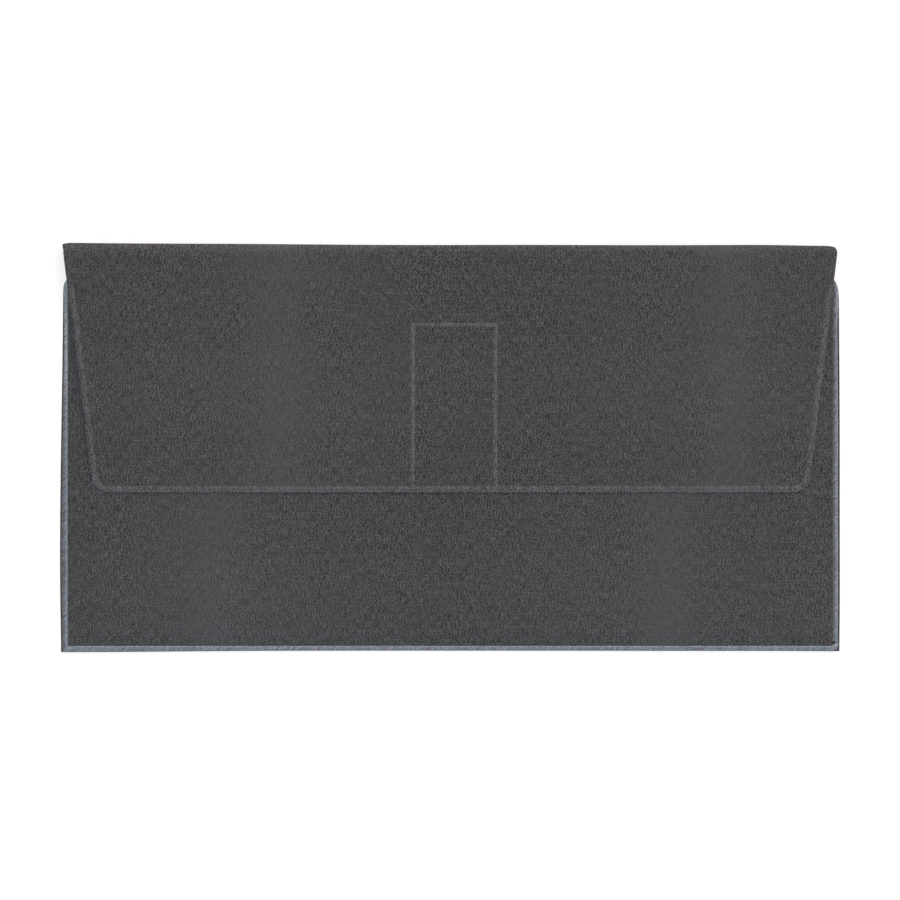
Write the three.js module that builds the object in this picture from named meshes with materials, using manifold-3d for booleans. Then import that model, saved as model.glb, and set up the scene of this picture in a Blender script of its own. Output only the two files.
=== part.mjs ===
// Envelope-style wallet for a health card and folded papers, closed and lying on its back.
// Millimetres, +Z up, fold towards +Y, mouth of the pocket just below the fold.
// The origin is the middle of the footprint, on the surface that the wallet lies on.

import * as THREE from 'three';
import { mergeVertices } from 'three/addons/utils/BufferGeometryUtils.js';
import Module from 'manifold-3d';

// Sheets
const coverThickness = 0.45;
const liningThickness = 0.25;
const filmThickness = 0.25;
const plyGap = 0.05; // between sheets that lie on each other, and beside a weld

// Pocket
const pocketWidth = 240; // between the bottom corners
const closedHeight = 125.5; // bottom seam to fold
const sideBow = 0.3; // swell of each side at mid height
const mouthBelowFold = 8.7;
const shoulderRadius = 6;
const seamWidth = 1.8; // pocket's edge to the inside of the weld
const seamMargin = 0.35; // cut edge of the back sheet outside the side welds
const seamHeight = 0.7; // crown of the weld bead over the back sheet
const seamEdgeHeight = 0.4; // along the bead's two sides
const seamTip = 0.6; // width that a side bead narrows to at the shoulder
const paperRoom = 4.25; // clear height over the card windows
const paperMargin = 12; // strip beside the seams over which the front sheet rises

// Fold
const creaseRadius = 1.85; // outside of each crease
const creaseGap = 0.3; // lets the spine strip turn beside the sheets it joins
const foldInset = 0.4; // fold corner, in from the pocket's side

// Flap
const flapDepth = 76.2; // fold to free edge
const flapTaper = 9.1; // how far each side draws in over that depth
const flapCornerRadius = 4.8;
const flapWeldWidth = 1.85;
const flapWeldStart = 12.5; // below the fold
const flapWeldPress = 0.1; // how far the weld lies below each face of the flap
const flapRestGap = 0.3; // over the front sheet

// Raised line frame on the flap
const frameWidth = 26.9;
const frameLine = 1.1;
const frameHeight = 0.2;
const frameBelowFold = 24.1;
const frameOffset = 1.1; // to the right of the middle

// Card windows
const cardWidth = 85.6;
const cardHeight = 54;
const cardThickness = 0.76;
const cardPlay = 2; // beside and below the card
const cardSlack = 0.14; // over the card's thickness
const cardWeldWidth = 2;
const windowSpacing = 10; // between the two windows
const windowLip = 3.5; // how far a window stands above the mouth
const windowCornerRadius = 3;
const thumbNotchRadius = 9;

// Facets
const curveSegments = 6;
const slopeSteps = 5;
const plateauSteps = 3;
const beadSteps = 6;
const beadRuns = 6;

// Heights of the stacked sheets
const secondPly = coverThickness + plyGap; // underside of what lies on the back sheet
const stackThickness = secondPly + liningThickness;
const windowBottom = stackThickness + cardThickness + cardSlack;
const windowTop = windowBottom + filmThickness;
const frontRim = stackThickness + plyGap;
const frontPlateau = windowTop + paperRoom;
const flapUnderside = frontPlateau + coverThickness + flapRestGap;
const flapTop = flapUnderside + stackThickness;

// Lines across the wallet, from the bottom seam up to the fold
const bottomEdge = -closedHeight / 2;
const foldEdge = closedHeight / 2;
const mouth = foldEdge - mouthBelowFold;
const shoulderStart = mouth - shoulderRadius;
const creaseStart = foldEdge - creaseRadius;
const sheetEnd = creaseStart - creaseGap;
const flapEnd = foldEdge - flapDepth;
const flapWeldEnd = foldEdge - flapWeldStart;
const innerBottom = bottomEdge + seamWidth + plyGap;

// Lines along the wallet, from the middle out
const sideEdge = pocketWidth / 2;
const seamInner = sideEdge - seamWidth;
const innerSide = seamInner - plyGap;
const flapSlope = flapTaper / flapDepth;
const flapSideAngle = Math.atan(flapSlope);

const wasm = await Module();
wasm.setup();

// Closed geometry to a boolean solid and back
function toSolid(geometry) {
  const bare = geometry.clone();
  bare.deleteAttribute('normal');
  bare.deleteAttribute('uv');
  const merged = mergeVertices(bare);
  return new wasm.Manifold(new wasm.Mesh({
    numProp: 3,
    vertProperties: new Float32Array(merged.attributes.position.array),
    triVerts: new Uint32Array(merged.index.array),
  }));
}

function toGeometry(solid) {
  const mesh = solid.getMesh();
  const geometry = new THREE.BufferGeometry();
  geometry.setAttribute('position', new THREE.BufferAttribute(mesh.vertProperties, 3));
  geometry.setIndex(new THREE.BufferAttribute(mesh.triVerts, 1));
  geometry.computeVertexNormals();
  return geometry;
}

// Flat sheet of a given outline
function plate(shape, bottom, thickness) {
  const options = { depth: thickness, bevelEnabled: false, curveSegments };
  return new THREE.ExtrudeGeometry(shape, options).translate(0, 0, bottom);
}

// Outlines that are alike left and right are drawn on the right, from the middle to the middle
function mirrored(points) {
  return points.map((point) => new THREE.Vector2(-point.x, point.y));
}

function symmetricShape(path) {
  const right = path.getPoints(curveSegments);
  const left = mirrored(right.slice(1, -1)).reverse();
  return new THREE.Shape([...right, ...left]);
}

// Half width of the flap and of the neck behind it, widest at the fold
function flapHalfWidth(y) {
  return sideEdge - foldInset - flapSlope * (foldEdge - y);
}

// Where the neck's side meets the rounded shoulder, as a height above the shoulder's centre
function neckHeight() {
  const reach = shoulderRadius - foldInset - flapSlope * (mouthBelowFold + shoulderRadius);
  const square = 1 + flapSlope ** 2;
  const inside = square * shoulderRadius ** 2 - reach ** 2;
  return (Math.sqrt(inside) - reach * flapSlope) / square;
}

const neckStart = shoulderStart + neckHeight();

// Side of the pocket, drawn upwards, bowed between the bottom seam and the shoulder
function traceSide(path, x) {
  path.lineTo(x, innerBottom);
  path.quadraticCurveTo(x + 2 * sideBow, (innerBottom + shoulderStart) / 2, x, shoulderStart);
}

function bowAt(y) {
  const share = THREE.MathUtils.clamp((y - innerBottom) / (shoulderStart - innerBottom), 0, 1);
  return 4 * sideBow * share * (1 - share);
}

// Angle on the shoulder's arc at a distance in from the pocket's side
function shoulderAngle(inset) {
  return Math.acos((shoulderRadius - inset) / shoulderRadius);
}

// Back sheet: the pocket's full outline up to the shoulders, then the neck that runs to the fold
function backShape() {
  const path = new THREE.Path();
  const neckAngle = Math.asin((neckStart - shoulderStart) / shoulderRadius);
  path.moveTo(0, bottomEdge);
  path.lineTo(sideEdge, bottomEdge);
  traceSide(path, sideEdge);
  path.absarc(sideEdge - shoulderRadius, shoulderStart, shoulderRadius, 0, neckAngle, false);
  path.lineTo(flapHalfWidth(sheetEnd), sheetEnd);
  path.lineTo(0, sheetEnd);
  return symmetricShape(path);
}

// Lining: inside the welds, then as wide as the neck
function liningShape() {
  const path = new THREE.Path();
  const neckLow = neckStart + plyGap;
  path.moveTo(0, innerBottom);
  traceSide(path, innerSide);
  path.lineTo(innerSide, neckLow);
  path.lineTo(flapHalfWidth(neckLow), neckLow);
  path.lineTo(flapHalfWidth(sheetEnd), sheetEnd);
  path.lineTo(0, sheetEnd);
  return symmetricShape(path);
}

// Evenly spaced values from one bound to the other, both included
function spread(from, to, steps) {
  return Array.from({ length: steps + 1 }, (unused, step) => from + (to - from) * step / steps);
}

// Closed body over a grid: place gives the x, y, lower z and upper z of a column and row
function gridBody(columns, rows, place) {
  const layer = columns * rows;
  const positions = new Float32Array(6 * layer);
  for (let row = 0; row < rows; row += 1) {
    for (let column = 0; column < columns; column += 1) {
      const [x, y, low, high] = place(column, row);
      const index = row * columns + column;
      positions.set([x, y, low], 3 * index);
      positions.set([x, y, high], 3 * (layer + index));
    }
  }
  const indices = [];
  const quad = (a, b, c, d) => indices.push(a, b, c, a, c, d);
  for (let row = 0; row + 1 < rows; row += 1) {
    for (let column = 0; column + 1 < columns; column += 1) {
      const a = row * columns + column;
      const b = a + columns;
      quad(a, b, b + 1, a + 1);
      quad(layer + a, layer + a + 1, layer + b + 1, layer + b);
    }
  }
  const wall = (from, to) => quad(from, to, layer + to, layer + from);
  for (let column = 0; column + 1 < columns; column += 1) {
    wall(column, column + 1);
    wall(layer - 1 - column, layer - 2 - column);
  }
  for (let row = 0; row + 1 < rows; row += 1) {
    wall((row + 1) * columns - 1, (row + 2) * columns - 1);
    wall((row + 1) * columns, row * columns);
  }
  const geometry = new THREE.BufferGeometry();
  geometry.setAttribute('position', new THREE.BufferAttribute(positions, 3));
  geometry.setIndex(indices);
  return geometry;
}

// Weld beads: low crowned strips on the back sheet, mitred together at the bottom corners
const beadCorner = sideEdge - seamMargin;
const beadRadius = shoulderRadius - seamMargin;
const beadReach = shoulderRadius - seamWidth + seamTip;
const beadEnd = shoulderStart + Math.sqrt(beadRadius ** 2 - beadReach ** 2);

function beadTop(share) {
  const crown = Math.sin(Math.PI * share);
  return coverThickness + seamEdgeHeight + (seamHeight - seamEdgeHeight) * crown;
}

// Outer side of a side bead, bowed and then rounded in at the shoulder
function beadOuter(y) {
  const rise = Math.max(0, y - shoulderStart);
  return sideEdge - shoulderRadius + Math.sqrt(beadRadius ** 2 - rise ** 2) + bowAt(y);
}

function sideBead(side) {
  const ys = [
    ...spread(bottomEdge + seamWidth, shoulderStart, beadRuns),
    ...spread(shoulderStart, beadEnd, curveSegments).slice(1),
  ];
  return gridBody(beadSteps + 1, ys.length, (column, row) => {
    const share = side > 0 ? column / beadSteps : 1 - column / beadSteps;
    const y = row > 0 ? ys[row] : ys[0] - seamWidth * share;
    const x = THREE.MathUtils.lerp(seamInner + bowAt(y), beadOuter(y), share);
    return [side * x, y, secondPly, beadTop(share)];
  });
}

function bottomBead() {
  const xs = spread(-seamInner, seamInner, beadRuns);
  return gridBody(xs.length, beadSteps + 1, (column, row) => {
    const share = row / beadSteps;
    const atEnd = column === 0 || column === beadRuns;
    const mitre = atEnd ? Math.sign(xs[column]) * (beadCorner - seamInner) * (1 - share) : 0;
    return [xs[column] + mitre, bottomEdge + seamWidth * share, secondPly, beadTop(share)];
  });
}

// Front sheet: rises from its welded rim to a level top, and stays level at the mouth
function frontShape() {
  const path = new THREE.Path();
  const inset = sideEdge - innerSide;
  path.moveTo(0, innerBottom);
  traceSide(path, innerSide);
  path.absarc(
    sideEdge - shoulderRadius, shoulderStart, shoulderRadius,
    shoulderAngle(inset), Math.PI / 2, false,
  );
  path.lineTo(0, mouth);
  return symmetricShape(path);
}

function swell(distance) {
  return Math.sin(Math.PI / 2 * THREE.MathUtils.clamp(distance / paperMargin, 0, 1));
}

function frontUnderside(x, y) {
  const fromSide = innerSide + bowAt(y) - Math.abs(x);
  const fromBottom = y - innerBottom;
  return frontRim + (frontPlateau - frontRim) * swell(fromSide) * swell(fromBottom);
}

function frontSheet() {
  const widest = innerSide + sideBow;
  const level = widest - paperMargin;
  const levelBottom = innerBottom + paperMargin;
  const right = [...spread(level, widest, slopeSteps), sideEdge + sideBow];
  const xs = [...right.map((x) => -x).reverse(), ...right];
  const ys = [
    bottomEdge,
    ...spread(innerBottom, levelBottom, slopeSteps).slice(0, -1),
    ...spread(levelBottom, shoulderStart, plateauSteps),
    foldEdge,
  ];
  const sheet = toSolid(gridBody(xs.length, ys.length, (column, row) => {
    const underside = frontUnderside(xs[column], ys[row]);
    return [xs[column], ys[row], underside, underside + coverThickness];
  }));
  const outline = toSolid(plate(frontShape(), 0, flapTop));
  return toGeometry(sheet.intersect(outline));
}

// Free edge of the flap from one side to the middle, drawn in by a given amount
function traceFlapEdge(path, inset) {
  const radius = flapCornerRadius - inset;
  const centreY = flapEnd + flapCornerRadius;
  const centreX = flapHalfWidth(centreY) - flapCornerRadius / Math.cos(flapSideAngle);
  path.lineTo(centreX + radius * Math.cos(flapSideAngle), centreY - radius * Math.sin(flapSideAngle));
  path.absarc(centreX, centreY, radius, -flapSideAngle, -Math.PI / 2, true);
  path.lineTo(0, flapEnd + inset);
}

function flapSide(y, inset) {
  return flapHalfWidth(y) - inset / Math.cos(flapSideAngle);
}

// Flap sheet: full width beside the fold, then inside the weld
function flapShape() {
  const path = new THREE.Path();
  const inset = flapWeldWidth + plyGap;
  path.moveTo(0, sheetEnd);
  path.lineTo(flapSide(sheetEnd, 0), sheetEnd);
  path.lineTo(flapSide(flapWeldEnd, 0), flapWeldEnd);
  path.lineTo(flapSide(flapWeldEnd, inset), flapWeldEnd);
  traceFlapEdge(path, inset);
  return symmetricShape(path);
}

// Fused strip round the flap's three free edges
function flapWeldShape() {
  const top = flapWeldEnd - plyGap;
  const edge = (inset) => {
    const path = new THREE.Path();
    path.moveTo(flapSide(top, inset), top);
    traceFlapEdge(path, inset);
    const right = path.getPoints(curveSegments);
    return [...right, ...mirrored(right.slice(0, -1)).reverse()];
  };
  return new THREE.Shape([...edge(0), ...edge(flapWeldWidth).reverse()]);
}

// Raised line frame: two uprights and a top bar, running down into the weld
function frameShape() {
  const bottom = flapEnd + flapWeldWidth + plyGap;
  const top = foldEdge - frameBelowFold;
  const left = frameOffset - frameWidth / 2;
  const right = frameOffset + frameWidth / 2;
  return new THREE.Shape([
    new THREE.Vector2(left, bottom),
    new THREE.Vector2(left + frameLine, bottom),
    new THREE.Vector2(left + frameLine, top - frameLine),
    new THREE.Vector2(right - frameLine, top - frameLine),
    new THREE.Vector2(right - frameLine, bottom),
    new THREE.Vector2(right, bottom),
    new THREE.Vector2(right, top),
    new THREE.Vector2(left, top),
  ]);
}

function flapCoverSheet() {
  const bottom = flapTop - coverThickness;
  const sheet = toSolid(plate(flapShape(), bottom, coverThickness));
  const frame = toSolid(plate(frameShape(), bottom, coverThickness + frameHeight));
  return toGeometry(sheet.add(frame));
}

// Strip that turns over the fold: two quarter-round creases with a straight spine between them
function foldStrip(outer, thickness) {
  const inner = outer - thickness;
  const upperCrease = flapTop - creaseRadius;
  const quarter = Math.PI / 2;
  const section = new THREE.Shape();
  section.absarc(creaseStart, creaseRadius, outer, -quarter, 0, false);
  section.absarc(creaseStart, upperCrease, outer, 0, quarter, false);
  section.absarc(creaseStart, upperCrease, inner, quarter, 0, true);
  section.absarc(creaseStart, creaseRadius, inner, 0, -quarter, true);
  const half = flapHalfWidth(creaseStart);
  const options = { depth: 2 * half, bevelEnabled: false, curveSegments };
  const alongX = new THREE.Matrix4().makeBasis(
    new THREE.Vector3(0, 1, 0), new THREE.Vector3(0, 0, 1), new THREE.Vector3(1, 0, 0),
  );
  return new THREE.ExtrudeGeometry(section, options).applyMatrix4(alongX).translate(-half, 0, 0);
}

// Card window: clear film, welded to the lining on three sides, open above with a thumb notch
const windowHalf = cardWidth / 2 + cardPlay + cardWeldWidth;
const windowEdge = mouth + windowLip;
const windowLow = windowEdge - cardHeight - cardPlay - cardWeldWidth;
const windowCentre = windowHalf + windowSpacing / 2;

function windowShape() {
  const path = new THREE.Path();
  const radius = windowCornerRadius;
  path.moveTo(0, windowLow);
  path.lineTo(windowHalf - radius, windowLow);
  path.absarc(windowHalf - radius, windowLow + radius, radius, -Math.PI / 2, 0, false);
  path.lineTo(windowHalf, windowEdge);
  path.absarc(0, windowEdge, thumbNotchRadius, 0, -Math.PI / 2, true);
  return symmetricShape(path);
}

function windowWeldShape() {
  const edge = (inset) => {
    const path = new THREE.Path();
    const radius = windowCornerRadius - inset;
    const centreX = windowHalf - windowCornerRadius;
    const centreY = windowLow + windowCornerRadius;
    path.moveTo(windowHalf - inset, windowEdge);
    path.lineTo(windowHalf - inset, centreY);
    path.absarc(centreX, centreY, radius, 0, -Math.PI / 2, true);
    path.lineTo(0, windowLow + inset);
    const right = path.getPoints(curveSegments);
    return [...right, ...mirrored(right.slice(0, -1)).reverse()];
  };
  return new THREE.Shape([...edge(0), ...edge(cardWeldWidth).reverse()]);
}

// Finishes
const coverFinish = { color: 0x4b4b4d, roughness: 0.62, metalness: 0 };
const weldFinish = { color: 0x757b84, roughness: 0.45, metalness: 0 };
const flapWeldFinish = { color: 0x57575a, roughness: 0.5, metalness: 0 };
const liningFinish = { color: 0x3d3f43, roughness: 0.75, metalness: 0 };
const filmFinish = { color: 0xdfe5e8, roughness: 0.12, metalness: 0, transparent: true, opacity: 0.3 };
const cardWeldFinish = { color: 0xa9b0b5, roughness: 0.3, metalness: 0 };

function addPiece(group, name, geometry, finish) {
  const mesh = new THREE.Mesh(geometry, new THREE.MeshStandardMaterial(finish));
  mesh.name = name;
  group.add(mesh);
}

// Pocket
const pocket = new THREE.Group();
addPiece(pocket, 'back_cover', plate(backShape(), 0, coverThickness), coverFinish);
addPiece(pocket, 'back_lining', plate(liningShape(), secondPly, liningThickness), liningFinish);
addPiece(pocket, 'left_seam', sideBead(-1), weldFinish);
addPiece(pocket, 'right_seam', sideBead(1), weldFinish);
addPiece(pocket, 'bottom_seam', bottomBead(), weldFinish);
addPiece(pocket, 'front_cover', frontSheet(), coverFinish);
const weldHeight = windowBottom - stackThickness - 2 * plyGap;
for (const [side, direction] of [['left', -1], ['right', 1]]) {
  const shift = direction * windowCentre;
  const weld = plate(windowWeldShape(), stackThickness + plyGap, weldHeight).translate(shift, 0, 0);
  const film = plate(windowShape(), windowBottom, filmThickness).translate(shift, 0, 0);
  addPiece(pocket, `${side}_card_weld`, weld, cardWeldFinish);
  addPiece(pocket, `${side}_card_window`, film, filmFinish);
}

// Spine
const spine = new THREE.Group();
const spineLiningRadius = creaseRadius - coverThickness - plyGap;
addPiece(spine, 'spine_cover', foldStrip(creaseRadius, coverThickness), coverFinish);
addPiece(spine, 'spine_lining', foldStrip(spineLiningRadius, liningThickness), liningFinish);

// Flap
const flap = new THREE.Group();
const flapWeldThickness = stackThickness - 2 * flapWeldPress;
const flapWeldBottom = flapUnderside + flapWeldPress;
addPiece(flap, 'flap_cover', flapCoverSheet(), coverFinish);
addPiece(flap, 'flap_lining', plate(flapShape(), flapUnderside, liningThickness), liningFinish);
addPiece(flap, 'flap_weld', plate(flapWeldShape(), flapWeldBottom, flapWeldThickness), flapWeldFinish);

const wallet = new THREE.Group();
wallet.add(pocket, spine, flap);

export default wallet;
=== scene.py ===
import bpy
import bmesh
import math
import numpy as np
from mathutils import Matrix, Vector


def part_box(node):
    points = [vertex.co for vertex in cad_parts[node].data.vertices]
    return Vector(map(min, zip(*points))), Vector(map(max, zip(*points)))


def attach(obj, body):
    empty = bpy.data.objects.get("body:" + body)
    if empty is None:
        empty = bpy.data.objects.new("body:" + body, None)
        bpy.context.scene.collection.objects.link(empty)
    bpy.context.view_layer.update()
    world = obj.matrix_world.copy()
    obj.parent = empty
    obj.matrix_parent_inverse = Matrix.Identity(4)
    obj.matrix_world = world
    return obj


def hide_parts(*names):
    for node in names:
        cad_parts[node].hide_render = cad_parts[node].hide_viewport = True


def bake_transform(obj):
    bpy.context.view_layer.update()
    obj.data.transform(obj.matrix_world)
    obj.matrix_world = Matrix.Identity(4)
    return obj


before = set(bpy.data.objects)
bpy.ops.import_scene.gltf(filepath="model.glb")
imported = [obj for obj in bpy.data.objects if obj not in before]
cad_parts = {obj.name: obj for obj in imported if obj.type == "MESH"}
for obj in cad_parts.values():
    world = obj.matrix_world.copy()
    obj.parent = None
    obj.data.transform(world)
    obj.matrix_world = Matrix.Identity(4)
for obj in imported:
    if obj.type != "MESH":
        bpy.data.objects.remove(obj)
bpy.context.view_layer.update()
scene = bpy.context.scene
print("frame read:", len(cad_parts), "solids")

# Lengths below are in millimetres, as the sheets were cut; meshes are made in metres.
# What changes along the way is written as a start, then (amount, from, to) for each change.
mm = 0.001
quarter = math.pi / 2
thinRim = 0.02  # how far the cut edge of a thin sheet bulges
pieces = {}

rippleWaves = {"long": (31, 27), "short": (17, 23), "shortShare": 0.6}


def nodeBox(node):
    low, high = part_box(node)
    return np.array(low) / mm, np.array(high) / mm


def ease(value, low, high):
    share = np.clip((np.asarray(value, float) - low) / (high - low), 0, 1)
    return share * share * (3 - 2 * share)


def eased(value, start, *changes):
    total = np.full(np.shape(value), float(start))
    for amount, low, high in changes:
        total = total + amount * ease(value, low, high)
    return total


def stations(end, *stops):
    # stops are (place, spacing up to the next place)
    places = [stops[0][0]]
    for (here, spacing), there in zip(stops, [stop[0] for stop in stops[1:]] + [end]):
        count = max(1, round(abs(there - here) / spacing))
        places.extend(np.linspace(here, there, count + 1)[1:])
    return np.array(places)


def crowded(count, crowd):
    # shares from -1 to 1, closer together at the ends
    share = np.linspace(-1, 1, count)
    return share * (1 + crowd - crowd * share**2)


def ripple(x, y, phase):
    (longX, longY), (shortX, shortY) = rippleWaves["long"], rippleWaves["short"]
    slow = np.sin(x / longX + phase) * np.cos(y / longY - phase)
    quick = rippleWaves["shortShare"] * np.sin(x / shortX - y / shortY + 2 * phase)
    return (slow + quick) / (1 + rippleWaves["shortShare"])


def level(x, y, z):
    return np.stack(np.broadcast_arrays(x, y, z), -1).astype(float)


def placeObject(name, data):
    made = bpy.data.objects.new(name, data)
    scene.collection.objects.link(made)
    return made


def addPiece(name, mesh, finish):
    mesh.materials.clear()
    mesh.materials.append(finish)
    pieces[name] = placeObject(name, mesh)
    return pieces[name]


def setMark(mesh, name, values):
    # one number per point
    mark = mesh.attributes.get(name) or mesh.attributes.new(name, "FLOAT", "POINT")
    mark.data.foreach_set("value", np.asarray(values, np.float32).ravel())


def sheetMesh(name, upper, lower, pattern, marks, rim=thinRim, sharpAngle=38):
    # closed sheet between two grids of points; x grows with the column and y with the row
    rows, columns = upper.shape[:2]
    count = rows * columns
    index = np.arange(count).reshape(rows, columns)
    edge = np.concatenate([index[0, :-1], index[:-1, -1], index[-1, :0:-1], index[:0:-1, 0]])
    inner = index.copy()
    inner[0], inner[-1] = index[1], index[-2]
    inner[:, 0], inner[:, -1] = inner[:, 1].copy(), inner[:, -2].copy()
    middle = (upper + lower).reshape(-1, 3) / 2
    outward = middle[edge] - middle[inner.ravel()[edge]]
    outward /= np.linalg.norm(outward, axis=1)[:, None]
    points = np.concatenate([upper.reshape(-1, 3), lower.reshape(-1, 3), middle[edge] + rim * outward])
    quads = np.stack([index[:-1, :-1], index[:-1, 1:], index[1:, 1:], index[1:, :-1]], -1).reshape(-1, 4)
    rimHere = 2 * count + np.arange(len(edge))
    rimNext, edgeNext = np.roll(rimHere, -1), np.roll(edge, -1)
    upperWall = np.stack([rimHere, rimNext, edgeNext, edge], -1)
    lowerWall = np.stack([count + edge, count + edgeNext, rimNext, rimHere], -1)
    faces = np.concatenate([quads, count + quads[:, ::-1], upperWall, lowerWall])
    mesh = bpy.data.meshes.new(name)
    mesh.from_pydata((points * mm).tolist(), [], faces.tolist())
    # the flat pattern goes with it as a UV map in metres
    spread = np.concatenate([np.arange(count), np.arange(count), edge])
    layer = mesh.uv_layers.new(name="cut")
    corners = np.zeros(len(mesh.loops), np.int32)
    mesh.loops.foreach_get("vertex_index", corners)
    flat = pattern.reshape(-1, 2)[spread]
    layer.data.foreach_set("uv", (flat[corners] * mm).astype(np.float32).ravel())
    for key, values in marks.items():
        setMark(mesh, key, np.ravel(values)[spread])
    mesh.polygons.foreach_set("use_smooth", [True] * len(mesh.polygons))
    mesh.set_sharp_from_angle(angle=math.radians(sharpAngle))
    return mesh


def sheetPiece(name, x, y, top, bottom, finish, pattern=None, marks=None, rim=thinRim):
    flat = np.stack([x, y], -1) if pattern is None else pattern
    mesh = sheetMesh(name, level(x, y, top), level(x, y, bottom), flat, marks or {}, rim)
    return addPiece(name, mesh, finish)


# Shader building blocks; nodes go into the tree that was begun last
begun = []


def begin(tree):
    begun.append(tree)
    return tree


def addNode(kind, inputs=None, **settings):
    tree = begun[-1]
    made = tree.nodes.new(kind)
    for key, value in settings.items():
        setattr(made, key, value)
    for key, value in (inputs or {}).items():
        if isinstance(value, bpy.types.NodeSocket):
            tree.links.new(value, made.inputs[key])
        else:
            made.inputs[key].default_value = value
    return made


def math2(operation, first, second=0.0, clamp=False):
    made = addNode("ShaderNodeMath", {0: first, 1: second}, operation=operation, use_clamp=clamp)
    return made.outputs[0]


def product(first, *others):
    for other in others:
        first = math2("MULTIPLY", first, other)
    return first


def mixColour(share, first, second, blend="MIX"):
    inputs = {0: share, 6: first, 7: second}
    return addNode("ShaderNodeMix", inputs, data_type="RGBA", blend_type=blend).outputs[2]


def mapRange(value, low, high, toLow, toHigh, kind="LINEAR"):
    inputs = {"Value": value, "From Min": low, "From Max": high, "To Min": toLow, "To Max": toHigh}
    return addNode("ShaderNodeMapRange", inputs, interpolation_type=kind).outputs["Result"]


def split(vector):
    return addNode("ShaderNodeSeparateXYZ", {0: vector}).outputs


def noise(vector, scale, detail, rough=0.5, dimensions="2D"):
    inputs = {"Vector": vector, "Scale": scale, "Detail": detail, "Roughness": rough}
    return addNode("ShaderNodeTexNoise", inputs, noise_dimensions=dimensions).outputs["Fac"]


def wave(place, pitch, kind="SINE"):
    # from nought to one and back over each pitch
    turn = product(place, 2 * math.pi / pitch)
    return mapRange(math2(kind, turn), -1.0, 1.0, 0.0, 1.0)


def inMillimetres(place):
    return addNode("ShaderNodeVectorMath", {0: place, "Scale": 1 / mm}, operation="SCALE").outputs[0]


def flatPattern():
    return inMillimetres(addNode("ShaderNodeUVMap", uv_map="cut").outputs["UV"])


def markOf(name):
    return addNode("ShaderNodeAttribute", attribute_name=name).outputs["Fac"]


def newGroup(name, mark, *results):
    # a node group that takes the flat pattern and one mark
    group = begin(bpy.data.node_groups.new(name, "ShaderNodeTree"))
    for label, kind in (("Pattern", "NodeSocketVector"), (mark, "NodeSocketFloat")):
        group.interface.new_socket(label, in_out="INPUT", socket_type=kind)
    for label in results:
        group.interface.new_socket(label, in_out="OUTPUT", socket_type="NodeSocketFloat")
    return group, group.nodes.new("NodeGroupInput").outputs, group.nodes.new("NodeGroupOutput").inputs


def newMaterial(name, look, **plain):
    material = bpy.data.materials.new(name)
    material.use_nodes = True
    tree = begin(material.node_tree)
    for key, value in {"Specular_IOR_Level": look["shine"], **plain}.items():
        tree.nodes["Principled BSDF"].inputs[key.replace("_", " ")].default_value = value
    return material


def dress(look, rough, relief, colour=None):
    shader = begun[-1].nodes["Principled BSDF"]
    strength, depth = look["bump"]
    bump = addNode("ShaderNodeBump", {"Strength": strength, "Distance": depth * mm, "Height": relief})
    given = {"Roughness": mapRange(rough, *look["rough"]), "Normal": bump.outputs[0]}
    if colour is not None:
        given["Base Color"] = colour
    for key, value in given.items():
        begun[-1].links.new(value, shader.inputs[key])


vinylCut = {
    "cell": (0.88, 1.3),  # leather cell across the roll and along it
    "uneven": 0.9,  # how far the cells stray from rows
    "wall": 0.2,  # raised wall round a cell, as a share of the cell
    "wallGain": 0.6,
    "wallLevel": 0.305,  # mean of the walls, taken off again
    "crossWall": (0.25, 0.5, 1.0, 0.55),  # walls that run across are lower
    "wornNoise": (0.9, 2.0),  # and all of them are worn in places
    "wornWall": (0.35, 0.65, 0.45, 1.0),
    "toneGain": 0.14,  # from cell to cell
    # each with its gain, marks per millimetre and finer layers
    "sway": (6.0, 0.045, 0.0),  # how far whole rows of cells sway
    "wander": (0.4, 0.5, 1.0),  # how far cells are pulled out of line
    "thread": (1.95, 1.0, 2.0),  # fine creases within the cells
    "speck": (1.45, 1.0, 0.0),  # pores between them
    "clump": (0.1, 0.25, 3.0),
    "threadSize": (0.13, 2.4), "speckSize": (0.25, 0.3),  # across the roll and along it
    "apart": (37.3, 11.7, 0.0),  # from the pull across to the pull along
    "noiseRough": 0.6,
    "cloudNoise": (0.035, 2.0),  # the grain's depth drifts from place to place
    "cloud": (0.3, 0.7, 0.94, 1.06),
    "level": 0.43,  # grain of plain vinyl
    "gamma": 0.85,
    "stripe": (85.6, 139.0),  # faint smoother, lighter stripe that repeats across the sheet: where and how often
    "stripeSharp": 20.0, "stripeDepth": 0.58,
    "stripeGrain": (1.16, 0.99),  # depth of the grain far from the stripe and near it
    "band": (112.9, 61.8),  # faint lighter band that repeats along the sheet: where and how often
    "bandEdge": (0.5, 0.8), "bandShare": 0.41,
    "pressGrain": 0.92,  # depth of the grain in pressed vinyl
}


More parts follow.
